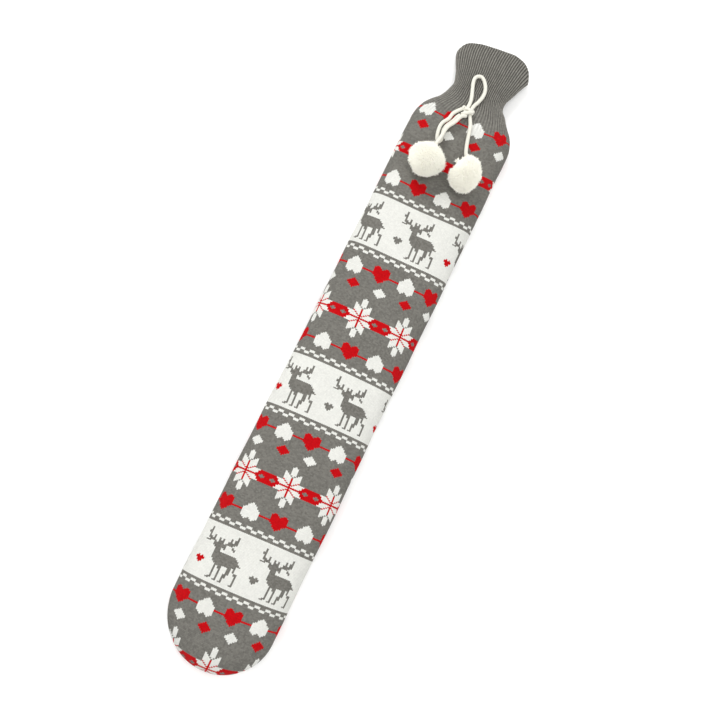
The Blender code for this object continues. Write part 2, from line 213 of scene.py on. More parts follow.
def knittedYarn(name, colour, mottle):
    # Acrylic yarn, ring spun and machine knitted: matt and slightly hairy, with each stitch a V of two
    # plump legs, a dark line between the wales, partly relief and partly painted shade, and colour that
    # varies a little from stitch to stitch.
    material, tree, shader = matShader(name, colour, yarnLook["fuzz"])
    stitch = addNode(tree, "ShaderNodeUVMap", uv_map="stitches")
    split = addNode(tree, "ShaderNodeSeparateXYZ", {"Vector": stitch})
    column, row = split.outputs["X"], split.outputs["Y"]
    # where in its stitch a point lies: legSide is -1 at the centre line, 0 on a leg's ridge, 1 at the edge
    nearest = addNode(tree, maths, {0: column}, operation="ROUND")
    aside = addNode(tree, maths, {0: column, 1: nearest}, operation="SUBTRACT")
    aside = addNode(tree, maths, {0: aside}, operation="ABSOLUTE")
    legSide = addNode(tree, maths, {0: aside, 1: 4.0, 2: -1.0}, operation="MULTIPLY_ADD")
    slanted = addNode(tree, maths, {0: row, 1: aside}, operation="ADD")
    lowered = addNode(tree, maths, {0: slanted, 1: 0.25}, operation="SUBTRACT")
    ownRow = addNode(tree, maths, {0: lowered}, operation="FLOOR")
    legPlace = addNode(tree, maths, {0: lowered}, operation="FRACT")
    # each leg is plump in its middle and thin at its sides and ends
    legEnds = addNode(tree, maths, {0: legPlace, 1: 2.0, 2: -1.0}, operation="MULTIPLY_ADD")
    legEnds = addNode(tree, maths, {0: legEnds}, operation="ABSOLUTE")
    legEnds = addNode(tree, maths, {0: legEnds, 1: 3.0}, operation="POWER")
    plump = addNode(tree, maths, {0: 1.0, 1: legEnds}, operation="SUBTRACT")
    flank = addNode(tree, maths, {0: legSide}, operation="ABSOLUTE")
    flank = addNode(tree, maths, {0: flank, 1: 2.0}, operation="POWER")
    crown = addNode(tree, maths, {0: 1.0, 1: flank}, operation="SUBTRACT")
    leg = addNode(tree, maths, {0: crown, 1: plump}, operation="MULTIPLY")
    leg = addNode(tree, maths, {0: leg, 1: 0.0}, operation="MAXIMUM")
    leg = addNode(tree, maths, {0: leg}, operation="SQRT")
    # the yarn's two plies wind along it, and fine hair lies over them
    plySlant = addNode(tree, maths, {0: legSide, 1: 0.7}, operation="MULTIPLY")
    ply = addNode(tree, maths, {0: legPlace, 1: 2.0, 2: plySlant}, operation="MULTIPLY_ADD")
    ply = addNode(tree, maths, {0: ply, 1: 2 * math.pi}, operation="MULTIPLY")
    ply = addNode(tree, maths, {0: ply}, operation="SINE")
    place = addNode(tree, "ShaderNodeTexCoord").outputs["Object"]
    hairLook = {"Vector": place, "Scale": yarnLook["hairsPerMm"] / mm, "Detail": 3.0}
    hair = addNode(tree, "ShaderNodeTexNoise", hairLook).outputs["Fac"]
    relief = addNode(tree, maths, {0: ply, 1: yarnLook["plyRelief"], 2: leg}, operation="MULTIPLY_ADD")
    relief = addNode(tree, maths, {0: hair, 1: yarnLook["hairRelief"], 2: relief}, operation="MULTIPLY_ADD")
    bumpLook = {"Height": relief, "Strength": 0.8, "Distance": yarnLook["reliefDepth"] * mm}
    bump = addNode(tree, "ShaderNodeBump", bumpLook)
    tree.links.new(bump.outputs["Normal"], shader.inputs["Normal"])
    # painted shade, darker beside the legs; and a tone uneven from stitch to stitch, over a few centimetres,
    # and by the hair
    cell = addNode(tree, "ShaderNodeCombineXYZ", {"X": nearest, "Y": ownRow})
    each = addNode(tree, "ShaderNodeTexWhiteNoise", {"Vector": cell}, noise_dimensions="2D").outputs["Value"]
    cloudLook = {"Vector": place, "Scale": yarnLook["cloudsPerMm"] / mm, "Detail": 2.0}
    cloud = addNode(tree, "ShaderNodeTexNoise", cloudLook).outputs["Fac"]
    paintedShadeAndTone = addNode(tree, maths, {0: leg, 1: 0.30, 2: 0.74}, operation="MULTIPLY_ADD")
    for source, share in ((each, mottle), (cloud, yarnLook["cloudShade"]), (hair, yarnLook["hairShade"])):
        varied = addNode(tree, maths, {0: source, 1: 0.5}, operation="SUBTRACT")
        paintedShadeAndTone = addNode(tree, maths, {0: varied, 1: share, 2: paintedShadeAndTone}, operation="MULTIPLY_ADD")
    # the collar's ribs: every other wale lies back in a furrow; the colour gets painted shadow in the furrows
    # and a painted highlight on the crests
    wave = addNode(tree, maths, {0: column, 1: math.pi}, operation="MULTIPLY")
    wave = addNode(tree, maths, {0: wave}, operation="COSINE")
    furrow = addNode(tree, maths, {0: wave, 1: -0.5, 2: 0.5}, operation="MULTIPLY_ADD")
    ribbed = addNode(tree, maths, {0: yarnLook["ribsFrom"], 1: row}, operation="SUBTRACT")
    ribbed = addNode(tree, maths, {0: ribbed, 1: yarnLook["ribsGrow"]}, operation="MULTIPLY")
    ribbed = addNode(tree, maths, {0: ribbed, 1: 0.0}, operation="MAXIMUM")
    ribbed = addNode(tree, maths, {0: ribbed, 1: 1.0}, operation="MINIMUM")
    ribPaintedLight = {0: furrow, 1: -yarnLook["ribPaintedShadow"], 2: yarnLook["ribPaintedHighlight"]}
    ribPaintedLight = addNode(tree, maths, ribPaintedLight, operation="MULTIPLY_ADD")
    ribPaintedLight = addNode(tree, maths, {0: ribPaintedLight, 1: ribbed, 2: 1.0}, operation="MULTIPLY_ADD")
    paintedShadeAndTone = addNode(tree, maths, {0: paintedShadeAndTone, 1: ribPaintedLight}, operation="MULTIPLY")
    tint = addNode(tree, "ShaderNodeVectorMath", {0: toLinear(colour)[:3], "Scale": paintedShadeAndTone}, operation="SCALE")
    tree.links.new(tint.outputs[0], shader.inputs["Base Color"])
    return material


def twistedYarn(name, colour, fibresPerMm, shadeDepth):
    # Soft low-twist acrylic, spun thick: matt cream with fine fibres and a faint shadow between them.
    material, tree, shader = matShader(name, colour, cordLook["fuzz"])
    place = addNode(tree, "ShaderNodeTexCoord").outputs["Object"]
    fibreLook = {"Vector": place, "Scale": fibresPerMm / mm, "Detail": 4.0}
    fibres = addNode(tree, "ShaderNodeTexNoise", fibreLook).outputs["Fac"]
    bumpLook = {"Height": fibres, "Strength": 0.6, "Distance": cordLook["fibreDepth"] * mm}
    bump = addNode(tree, "ShaderNodeBump", bumpLook)
    tree.links.new(bump.outputs["Normal"], shader.inputs["Normal"])
    paintedShadeAndTone = {0: fibres, 1: shadeDepth, 2: 1.0 - 0.6 * shadeDepth}
    paintedShadeAndTone = addNode(tree, maths, paintedShadeAndTone, operation="MULTIPLY_ADD")
    tint = addNode(tree, "ShaderNodeVectorMath", {0: toLinear(colour)[:3], "Scale": paintedShadeAndTone}, operation="SCALE")
    tree.links.new(tint.outputs[0], shader.inputs["Base Color"])
    shader.inputs["Subsurface Weight"].default_value = cordLook["glow"]
    shader.inputs["Subsurface Scale"].default_value = cordLook["glowDepth"] * mm
    shader.inputs["Subsurface Radius"].default_value = (1.0, 0.95, 0.85)
    return material


greyYarn = knittedYarn("grey_acrylic_knit", yarnLook["grey"], 0.34)
whiteYarn = knittedYarn("white_acrylic_knit", yarnLook["white"], 0.08)
redYarn = knittedYarn("red_acrylic_knit", yarnLook["red"], 0.16)
cordYarn = twistedYarn("cream_knitted_cord", yarnLook["cream"], 1.8, 0.16)
# the pompoms' yarn is the cord's cream, painted paler as painted light
pompomYarn = twistedYarn("cream_cut_yarn", yarnLook["cutEndsPaintedLight"], 2.4, 0.06)


# Cords of the bow

cordShape = {
    "diameter": 4.3,
    "around": 28,              # points round the tube
    "step": 0.35,              # between its rings
    "overrun": 2.6,            # how far an end goes on inside the knot
    "longOverrun": 1.6,        # and how many times as far the right tail does
    "tubeEnd": 1.5,            # length over which a strand's end is rounded
    "turnEnd": 1.2,            # and a knot turn's
    "wales": 5,                # columns of stitches round the cord
    "stitch": 2.1,             # length of one of its stitches
    "relief": 0.42,
    "turnsPerMm": 0.006,       # how far the wales wander round the cord
}

upperLoop = (
    (-5.9, 284.8, 36.4), (-5.8, 290.6, 34.9), (-6.8, 297.7, 33.6), (-9.5, 306.2, 32.8),
    (-12.3, 314.5, 32.5), (-13.2, 320.4, 32.3), (-11.2, 324.6, 32.1), (-6.8, 325.8, 32.1),
    (-1.9, 322.2, 32.3), (2.6, 314.5, 32.5), (3.7, 306.2, 32.8), (2.0, 297.7, 33.6),
    (-0.5, 290.6, 34.9), (-1.3, 284.8, 36.4),
)
leftLoop = (
    (-11.9, 279.0, 37.5), (-14.4, 275.9, 37.3), (-17.0, 271.9, 37.7), (-18.1, 268.0, 38.1),
    (-18.8, 263.8, 38.3), (-20.6, 260.2, 38.4), (-22.9, 256.4, 38.5), (-23.9, 251.6, 38.6),
    (-23.5, 246.3, 38.6), (-22.4, 241.4, 38.7), (-20.9, 237.0, 38.7), (-18.5, 234.4, 38.7),
    (-16.5, 236.8, 38.7), (-17.2, 241.8, 38.7), (-18.5, 247.0, 38.6), (-18.6, 250.5, 38.6),
    (-17.5, 255.3, 38.5), (-14.9, 260.2, 38.5), (-13.2, 264.4, 38.4), (-12.1, 268.2, 38.0),
    (-10.8, 271.2, 37.6),
)
leftTail = (
    (-4.6, 273.4, 39.8), (-7.0, 271.4, 41.3), (-9.0, 267.8, 42.6), (-10.3, 263.2, 43.2),
    (-12.6, 258.2, 43.3), (-15.4, 253.6, 43.3), (-17.0, 248.0, 43.4), (-17.3, 242.6, 43.8),
    (-17.7, 236.2, 46.0), (-18.3, 230.6, 50.0), (-19.1, 224.6, 53.0), (-19.9, 219.4, 54.1),
)
rightTail = (
    (1.3, 274.8, 37.4), (2.9, 272.0, 37.3), (4.8, 268.1, 37.9), (7.0, 260.9, 38.3),
    (10.2, 248.1, 38.6), (12.7, 239.9, 39.3), (14.4, 234.3, 42.5), (16.3, 229.8, 47.0),
    (18.2, 226.4, 50.2), (19.1, 224.7, 51.3),
)


def tubeAlong(line, radius, start=0):
    # rings of a knitted tube: points, quads. radius may be one number or one for each ring
    ahead = np.gradient(line, axis=0)
    ahead /= np.linalg.norm(ahead, axis=1)[:, None]
    side = np.cross(ahead[0], [0.0, 0.0, 1.0])
    if np.linalg.norm(side) < 0.1:
        side = np.cross(ahead[0], [1.0, 0.0, 0.0])
    sides = []
    for direction in ahead:                    # carried along, so that the tube doesn't twist by itself
        side = side - direction * (side @ direction)
        side = side / np.linalg.norm(side)
        sides.append(side)
    sides = np.array(sides)
    ups = np.cross(sides, ahead)
    run = runOf(line)
    count = cordShape["around"]
    turn = 2 * math.pi * np.arange(count) / count
    wander = 2 * math.pi * cordShape["turnsPerMm"] * run[:, None]
    wale = (turn[None, :] + wander) * cordShape["wales"] / (2 * math.pi)
    aside = np.abs(wale - np.round(wale))
    courses = run[:, None] / cordShape["stitch"] + aside
    leg = (1 - (4 * aside - 1) ** 2) * (1 - np.abs(2 * (courses % 1.0) - 1) ** 3)
    depth = cordShape["relief"] * (1 - np.sqrt(np.clip(leg, 0, 1)))
    radii = np.broadcast_to(radius, (len(line),))[:, None] - depth
    points = line[:, None] + radii[..., None] * (
        np.cos(turn)[None, :, None] * sides[:, None] + np.sin(turn)[None, :, None] * ups[:, None])
    rings = np.arange(len(line) - 1)[:, None] * count
    k = np.arange(count)[None, :]
    after = (k + 1) % count
    quads = np.stack([rings + k, rings + after, rings + count + after, rings + count + k], axis=-1)
    return points.reshape(-1, 3), quads.reshape(-1, 4) + start


def roundedEnds(line, radius, length):
    # radius of each ring, drawn in at both ends of the tube
    run = runOf(line)
    near = np.minimum(run, run[-1] - run)
    return radius * np.sqrt(np.clip(1 - (1 - np.clip(near / length, 0, 1)) ** 2, 0.0004, 1))


def stretched(line, before, after):
    # the same line, gone on straight at its ends
    first = line[0] - (line[1] - line[0]) / np.linalg.norm(line[1] - line[0]) * before
    last = line[-1] + (line[-1] - line[-2]) / np.linalg.norm(line[-1] - line[-2]) * after
    parts = ([first] if before else []) + list(line) + ([last] if after else [])
    return smoothRoute(parts, cordShape["step"])


def makeCord(name, route, before, after):
    radius = cordShape["diameter"] / 2
    line = stretched(smoothRoute(route, 2.0), before, after)
    points, quads = tubeAlong(line, roundedEnds(line, radius, cordShape["tubeEnd"]))
    piece = makeMesh("cord_" + name, points, quads, [cordYarn], np.zeros(len(quads)))
    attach(piece, "root")
    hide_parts(name)
    return piece, line


overrun = cordShape["overrun"]
upperPiece, upperLine = makeCord("loop_upper", upperLoop, overrun, overrun)
leftPiece, leftLine = makeCord("loop_left", leftLoop, overrun, overrun)
leftTailPiece, leftTailLine = makeCord("tail_left", leftTail, overrun, 0.0)
rightTailPiece, rightTailLine = makeCord("tail_right", rightTail, cordShape["longOverrun"] * overrun, 0.0)
print("cords laid")


# Knot: the cord's own turns over the neck

knotTurns = (
    # radius, and the turn's way: first a short length under the others, that carries them
    (2.1, ((-8.2, 278.0, 37.3), (-5.5, 279.2, 37.7), (-2.8, 279.8, 37.9), (0.2, 280.0, 37.5),
           (1.2, 279.0, 36.9))),
    # the turn round the two strands of the upper loop
    (2.0, ((-8.0, 280.8, 37.3), (-7.0, 281.7, 39.1), (-4.2, 281.9, 39.9), (-1.4, 281.2, 39.9),
           (0.8, 280.0, 39.1), (1.6, 279.0, 37.2))),
    # the turn that slants down to the left
    (2.1, ((1.7, 282.4, 37.0), (1.2, 281.8, 39.0), (-0.6, 279.7, 40.6), (-3.2, 277.6, 41.1),
           (-5.9, 275.9, 40.6), (-7.9, 274.9, 39.3), (-8.8, 274.4, 37.6))),
    # the small bend that stands out at its upper left
    (1.5, ((-8.3, 279.6, 37.6), (-10.0, 280.6, 38.6), (-10.3, 282.4, 39.2), (-9.0, 283.2, 38.8),
           (-7.6, 282.2, 38.0))),
)


def makeKnot():
    points, quads = np.zeros((0, 3)), np.zeros((0, 4), int)
    for radius, turn in knotTurns:
        line = smoothRoute(turn, cordShape["step"])
        some, faces = tubeAlong(line, roundedEnds(line, radius, cordShape["turnEnd"]), len(points))
        points, quads = np.vstack([points, some]), np.vstack([quads, faces])
    piece = makeMesh("cord_knot", points, quads, [cordYarn], np.zeros(len(quads)))
    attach(piece, "root")
    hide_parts("knot")


makeKnot()
print("knot tied")


# Sleeve: its shape

sleeve = {
    "wall": 2.6,
    "crown": (2.8, 2.0),       # exponents of a section's upper half: width, height
    "back": (3.5, 2.0),        # of its lower half, which the surface presses flat
    "neck": 312.0,
    "collarReach": 58.0,       # nominal length of the collar, along which its sections are given
    "roundEnd": -313.2,        # where the round end begins
    "endRadius": 58.2,
    "endEase": 0.05,           # share of its radius over which its shift to the right begins softly
    "endShift": 3.0,           # how far its tip lies to the right
    "samples": 361,            # of a section's half, before it is cut into equal steps
    "evening": 0.75,           # sets more of them where the section turns down
    "soften": 1.6,             # mm over which the tables' corners are rounded
    "rimSoften": 8,            # the same for the rim, in steps of 1/200 of its half width
    "meanHalf": 55.0,          # first guess of a half width, for a row's lean
    "edgePower": 10,           # keeps the face's stretch off its edges
    "heart": 15.0,             # height of the line that the cloth's outer side faces away from
    "edgeFrom": 0.985,         # share of the round end's radius past which its outer side faces outwards
    "stitches": 136,           # round the tube
    "rimRow": -161,
    "plainBefore": -90,        # rows before this one are grey throughout
    "lastRow": 397,
    "ribDepth": 1.1,
    "ridge": 0.32,             # how far a stitch's legs stand above the lines between them
}

# y, left and right half width, low, middle, top, share of the rib's depth
bodySections = (
    (-313.2, 58.2, 58.2, -2.0, 15.0, 35.2, 0.00), (-290.0, 58.5, 58.1, -2.0, 15.0, 35.6, 0.00),
    (-250.0, 57.8, 57.9, -2.0, 15.0, 36.0, 0.00), (-169.0, 57.9, 58.4, -2.0, 15.0, 36.2, 0.00),
    (-127.0, 58.3, 57.9, -2.0, 15.0, 36.0, 0.00), (-43.0, 57.3, 57.7, -2.0, 15.0, 36.0, 0.00),
    (43.0, 57.6, 58.0, -2.0, 15.0, 36.2, 0.00), (132.0, 57.7, 57.4, -2.0, 15.0, 36.0, 0.00),
    (200.0, 57.7, 57.7, -2.0, 15.0, 36.1, 0.00), (246.0, 58.3, 57.7, -2.0, 15.0, 36.0, 0.00),
    (259.0, 58.2, 57.4, -2.0, 15.0, 35.7, 0.00), (267.5, 56.6, 56.9, -2.0, 15.0, 35.2, 0.00),
    (277.0, 52.6, 53.9, -1.0, 15.0, 34.3, 0.25), (284.0, 47.0, 50.1, 0.0, 15.2, 33.3, 0.45),
    (291.0, 39.6, 43.7, 1.4, 15.5, 31.8, 0.65), (298.0, 36.0, 38.3, 2.5, 15.8, 30.7, 0.80),
    (301.5, 34.7, 36.1, 3.0, 15.9, 30.3, 0.90), (305.0, 33.6, 30.9, 3.5, 16.0, 29.9, 1.00),
    (312.0, 31.5, 28.9, 4.0, 16.0, 29.5, 1.00),
)
# share of the collar's length, then as above
collarSections = (
    (0.10, 32.2, 29.3, 3.6, 15.8, 29.4, 1.0), (0.20, 33.4, 30.1, 3.0, 15.7, 29.3, 1.0),
    (0.40, 36.4, 33.5, 2.2, 15.2, 28.6, 1.0), (0.60, 40.5, 36.4, 1.5, 14.5, 27.4, 1.0),
    (0.80, 43.8, 39.3, 1.0, 13.5, 25.8, 1.0), (0.92, 44.8, 41.4, 0.7, 12.7, 24.6, 1.0),
    (1.00, 45.1, 42.8, 0.6, 12.3, 24.0, 1.0),
)
# share of the collar's half width, and the rim's y there
rimLine = (
    (-1.0, 351.0), (-0.93, 358.2), (-0.83, 361.6), (-0.52, 365.4), (-0.03, 368.6), (0.38, 371.0),
    (0.66, 368.8), (0.80, 365.4), (0.90, 361.8), (1.0, 352.0),
)

# Rows of stitches. Row 0 is the top row of the upper deer band; rows count towards the round end.
rowPlaces = (
    (-161, 369.3), (-118, 313.0), (-83, 265.6), (-64, 238.8), (-44, 212.0), (-24, 186.8),
    (-3, 159.3), (16, 134.6), (35, 108.8), (45, 95.6), (54, 83.4), (75, 54.6), (100, 20.9),
    (120, -5.7), (140, -31.8), (160, -57.9), (178, -82.4),
    (192, -100.9), (210, -124.3), (225, -144.4), (250, -178.1), (270, -204.8), (285, -224.5), (300, -243.9),
    (318, -268.8), (335, -291.6), (347, -307.2), (357, -320.8), (366, -334.4), (374, -348.2), (386, -368.0),
    (393, -379.5), (400, -390.5),
)
# y, how far a row leans (mm a mm to the right), how far its ends curve up (mm a square mm)
rowLean = (
    (-330, 0.050, 0.0013), (-308, 0.055, 0.0006), (-283, 0.055, 0.0002), (-240, 0.055, -0.0003),
    (-200, 0.053, 0.0), (-150, 0.056, 0.0), (-110, 0.050, 0.0), (-85, 0.039, 0.0), (-55, 0.027, 0.0),
    (-25, 0.032, 0.0), (60, 0.031, 0.0004), (92, 0.034, 0.0006), (130, 0.040, 0.0009), (165, 0.042, 0.0013),
    (200, 0.044, 0.0019), (240, 0.047, 0.0021), (256, 0.055, 0.0027), (272, 0.042, 0.0021),
    (312, 0.042, 0.0016),
)
# y, and how many stitches the wales stand to the left of their place at the middle
waleDrift = (
    (-340, 5.3), (-300, 5.0), (-260, 4.85), (-205, 4.15), (-117, 1.45), (-14, -2.05), (73, -4.85),
    (126, -6.45), (178, -7.95), (216, -9.0), (266, -8.2), (300, -8.0),
)
# y, how far the cloth's face is stretched across, which its sides give up, and how much more on the left
faceStretch = (
    (-345, -0.012, 0.0), (-310, 0.0, 0.0), (-285, 0.01, 0.0), (-255, 0.03, 0.0), (-190, 0.03, 0.0),
    (-140, 0.022, 0.0), (-20, 0.03, 0.0), (15, 0.028, 0.008), (55, 0.02, 0.022), (95, 0.018, 0.034),
    (190, 0.018, 0.0), (222, 0.034, 0.0), (250, 0.056, 0.0), (262, 0.045, 0.0), (278, 0.005, 0.0),
)
# rows of the chart whose single line of red yarn stands fuller than the rows beside it
fullRows = {"rows": (61, 99, 127), "extra": 0.24}
pitch = 4                      # places between two stitches, in the table of sections


def spread(row):
    # rows moved a little, so that each full row is taller than its neighbours
    places, shifts = [0.0], [0.0]
    for full in fullRows["rows"]:
        places += [full - 1, full, full + 1, full + 2]
        shifts += [0.0, -fullRows["extra"], fullRows["extra"], 0.0]
    return row + np.interp(row % chartRows, places, shifts)


def halfSection(left, right, middle, edge, exponents, inset, count):
    # one half of a section from its left side to its right one, at equal steps: x, z
    side = np.cos(np.linspace(math.pi, 0.0, sleeve["samples"]))
    share = np.abs(side) ** sleeve["evening"]
    x = np.where(side < 0, left - inset, right - inset) * np.sign(side) * share
    rise = np.clip(1 - share ** exponents[0], 0, 1) ** (1 / exponents[1])
    z = middle + (edge - middle) * rise
    z = np.maximum(z, inset)
    run = np.concatenate([[0.0], np.cumsum(np.hypot(np.diff(x), np.diff(z)))])
    at = np.linspace(0.0, run[-1], count + 1)
    return np.interp(at, run, x), np.interp(at, run, z)


def sectionTable(inset):
    # x and z of points at equal steps round the sleeve, for a station each millimetre
    reach = sleeve["collarReach"]
    table = list(bodySections) + [(sleeve["neck"] + row[0] * reach, *row[1:]) for row in collarSections]
    stations = np.arange(sleeve["roundEnd"], sleeve["neck"] + reach + 0.5)
    columns = [softened(tableAt(table, k, stations), sleeve["soften"]) for k in range(1, 7)]
    half = sleeve["stitches"] // 2 * pitch
    xs, zs = [], []
    for left, right, low, middle, top, _ in zip(*columns):
        upper = halfSection(left, right, middle, top - inset, sleeve["crown"], inset, half)
        lower = halfSection(left, right, middle, low + inset, sleeve["back"], inset, half)
        xs.append(np.concatenate([upper[0], lower[0][-2::-1]]))
        zs.append(np.concatenate([upper[1], lower[1][-2::-1]]))
    return stations, np.array(xs), np.array(zs), columns


class Tube:
    # the sleeve's surface at a distance inside the CAD's, as a function of stitch and row
    def __init__(self, inset):
        self.inset = inset
        self.stations, self.xs, self.zs, self.columns = sectionTable(inset)

    def section(self, q, p):
        # p runs from -quarter at the left side over the top to quarter at the right, and on under it
        quarter = sleeve["stitches"] / 4
        rows = np.clip(q - self.stations[0], 0, len(self.stations) - 1.001)
        around = ((p + quarter) % sleeve["stitches"]) * pitch
        i, j = rows.astype(int), np.minimum(around.astype(int), self.xs.shape[1] - 2)
        a, b = rows - i, around - j
        found = []
        for grid in (self.xs, self.zs):
            first = grid[i, j] * (1 - b) + grid[i, j + 1] * b
            second = grid[i + 1, j] * (1 - b) + grid[i + 1, j + 1] * b
            found.append(first * (1 - a) + second * a)
        return found

    def place(self, column, row):
        # x, y, z of a point of the cloth, and its share of the round end's radius
        y0 = tableAt(rowPlaces, 1, row)
        neck, rim = sleeve["neck"], sleeve["rimRow"]
        neckRow = np.interp(-neck, [-r[1] for r in rowPlaces], [r[0] for r in rowPlaces])
        share = np.clip((neckRow - row) / (neckRow - rim), 0, 1)
        q0 = np.where(share > 0, neck + sleeve["collarReach"] * share, y0)
        lean, smile = tableAt(rowLean, 1, y0), tableAt(rowLean, 2, y0)
        p = column + tableAt(waleDrift, 1, y0)
        quarter = sleeve["stitches"] / 4
        folded = (p + quarter) % (4 * quarter) - quarter           # -quarter to 3 quarters
        under = folded > quarter
        across = np.where(under, 2 * quarter - folded, folded) / quarter
        stretch = tableAt(faceStretch, 1, y0) + tableAt(faceStretch, 2, y0) * np.clip(-2 * across, 0, 1)
        across = across * (1 + stretch * (1 - across ** sleeve["edgePower"]))
        p = np.where(under, 2 - across, across) * quarter
        x = across * sleeve["meanHalf"]
        for _ in range(3):
            offset = lean * x + smile * x * x
            x, z = self.section(q0 + offset * (1 - share), p)
        offset = lean * x + smile * x * x
        left, right = (np.interp(q0, self.stations, self.columns[k]) for k in (0, 1))
        half = np.where(x < 0, left, right)
        rimY = np.interp(x / half, rimAcross, rimHeights)
        y = np.where(share > 0, (1 - share) * (neck + offset) + share * rimY, y0 + offset)
        return self.roundedEnd(x, y, z, across, under)

    def roundedEnd(self, x, y, z, across, under):
        # past its start the round end is the last section's outline turned about its middle
        start = sleeve["roundEnd"]
        quarter = sleeve["stitches"] / 4
        past = y < start
        down = (start - y) / (quarter * yarnLook["stitchWide"])
        ratio = np.hypot(across, np.where(past, down, 0.0))
        inside = np.clip(ratio, 1e-6, 1.0)
        level = np.where(under, 2 * quarter - inside * quarter, inside * quarter)
        r, h = self.section(np.full_like(y, start), level)
        scale = r / np.maximum(ratio, 1e-6)
        endX = across * scale
        endY = start - down * scale
        reach = np.clip((start - endY) / sleeve["endRadius"], 0, 1)
        eased = 1 - np.exp(-reach / sleeve["endEase"])
        endX = endX + sleeve["endShift"] * (1 - (1 - reach) ** 2) * eased
        place = np.stack([np.where(past, endX, x), np.where(past, endY, y), np.where(past, h, z)], axis=-1)
        return place, np.where(past, ratio, 0.0)


rimAcross = np.linspace(-1, 1, 401)
rimHeights = softened(tableAt(rimLine, 1, rimAcross), sleeve["rimSoften"])
outerTube = Tube(0.0)


# Sleeve: its charts. X is the motif's yarn, R red, W white, a dot the ground's

deerChart = (
    ".X......................",
    ".X..............X.......",
    ".X..............X.......",
    "XX..............X.......",
    "XX...........X.XX.......",
    ".X..X........X.XX.......",
    ".X..X..X.X...X.XX.......",
    ".XX.X..X.X..XXXXX.......",
    ".XXXX..XXX..XXXX........",
    "..XXXX.XXX.XXXX.........",
    "XXX..XXXXXXX...X........",
    ".....XXXXXXX...XX.......",
    ".....XXXXXXX....X.......",
    "......XXXX.X............",
    ".......XXX..............",
    ".......XXX..............",
    ".......XXXXXXXXXXXX.....",
    ".......XXXXXXXXXXXXX....",
    ".......XXXXXXXXXXXXXX...",
    ".......XXXXXXXXXXXXXX...",
    ".......XXXXXXXXXXXXXXX..",
    ".......XXXXXXXXXXXXXXXX.",
    "........XXXXXXXXXXXXX...",
    "........XXXXXXXXXXXXX...",
    ".........XXXXXXXXXX.X...",
    "..........XXXX...XX.X...",
    "..........X.XX...XX.X...",
    "..........X.XX...XX..XX.",
    "..........X..X...XX..XX.",
    "..........X..X...XX...X.",
    "..........X..X..XX....X.",
    "..........X..X..XX....X.",
    "..........X..X..XX....X.",
    "..........X..X..X.....X.",
    "..........X..X..X.....X.",
    ".........XX..X..X.....X.",
    "........XX..XX.XX....XX.",
)
fullRow = ("XXXXXXXXX",)
heartChart = (".XX...XX.", "XXXX.XXXX", *(fullRow * 6), ".XXXXXXX.", "..XXXXX..", "..XXXXX..",
              "...XXX...", "....X....")
leafChart = ("....X....", "...XXX...", "..XXXXX..", "..XXXXX..", ".XXXXXXX.", *(fullRow * 7),
             ".XXX.XXX.", "..X...X..")
smallHeartChart = (".X.X.", "XXXXX", "XXXXX", ".XXX.", ".XXX.", "..X..")
diamondChart = ("...X...", "..XXX..", ".XXXXX.", "XXXXXXX", "XXXXXXX", ".XXXXX.", "..XXX..", "...X...")
# a quarter of each: its first row and column are the lines that it is mirrored about
starQuarter = (
    "RRRRRR...",
    "RWWWWW...",
    "RRWWWWW..",
    "RWRWWWW..",
    "RWWRWWWW.",
    "RWWWR....",
    "RWWWW....",
    "RWWWW....",
    ".WWWW....",
    "W.WWW....",
    "WW.WW....",
    "WW..W....",
    "WW.......",
    "WW.......",
    "WW.......",
    "WW.......",
    "W........",
)
lozengeQuarter = ("RR...RR", "RRR.RRR", "RRRRRR.", "RRRRRR.", "RRRRR..")

grey, white, red = 0, 1, 2
chartRows, chartColumns = 144, 120


def mirrored(quarter):
    rows = [row[:0:-1] + row for row in quarter]
    return rows[:0:-1] + rows


def stampMotif(chart, motif, firstRow, centre, period, yarn=None):
    # sets a motif into the chart, again every period columns
    wide = len(motif[0])
    for r, row in enumerate(motif):
        for c, mark in enumerate(row):
            if mark != ".":
                kind = yarn if yarn is not None else {"R": red, "W": white}[mark]
                for repeat in range(centre - wide // 2 + c, centre - wide // 2 + c + chartColumns, period):
                    chart[firstRow + r, repeat % chartColumns] = kind


def makeChart():
    chart = np.full((chartRows, chartColumns), grey)
    chart[0:44] = white
    stampMotif(chart, deerChart, 4, 12, 30, grey)
    stampMotif(chart, smallHeartChart, 27, 1, 60, grey)
    stampMotif(chart, smallHeartChart, 27, 31, 60, red)
    for row, centre in ((46, 3), (48, 0), (138, 0), (140, 3)):
        stampMotif(chart, ("XXX", "XXX"), row, centre, 6, white)
    for row in (54, 120):
        chart[row + 7] = red
        stampMotif(chart, heartChart, row + 1, 0, 30, red)
        stampMotif(chart, leafChart, row, 15, 30, white)
    stampMotif(chart, diamondChart, 71, 3, 30, white)
    stampMotif(chart, diamondChart, 71, 18, 30, red)
    stampMotif(chart, mirrored(starQuarter), 83, -2, 24)
    stampMotif(chart, mirrored(lozengeQuarter), 95, 10, 24)
    return chart


def yarnOf(chart, column, row):
    seam = sleeve["stitches"] // 2
    column = np.where(column >= seam, column - sleeve["stitches"], column)
    kinds = chart[row % chartRows, column % chartColumns]
    return np.where(row < sleeve["plainBefore"], grey, kinds)


# Sleeve: its stitches

stitchMesh = {
    "fineFrom": -40,           # stitches that are ever seen from above get a ridge on each leg
    "fineTo": 44,
    "cuts": (15, 205),         # rows at which the cloth's mesh is parted
    "names": ("knit_upper", "knit_middle", "knit_lower"),
    "unevenness": 0.35,
    "lumpsFrom": 3.0,          # height above the floor where the unevenness begins
    "lumpsGrow": 6.0,          # and over how much height it comes in
}


def stitchColumns():
    # the lines that a stitch's faces lie between, all the way round
    first, last = stitchMesh["fineFrom"] - 0.5, stitchMesh["fineTo"] + 0.5
    fine = np.arange(first, last, 0.25)
    coarse = np.arange(last, first + sleeve["stitches"], 0.5)
    return np.concatenate([fine, coarse])


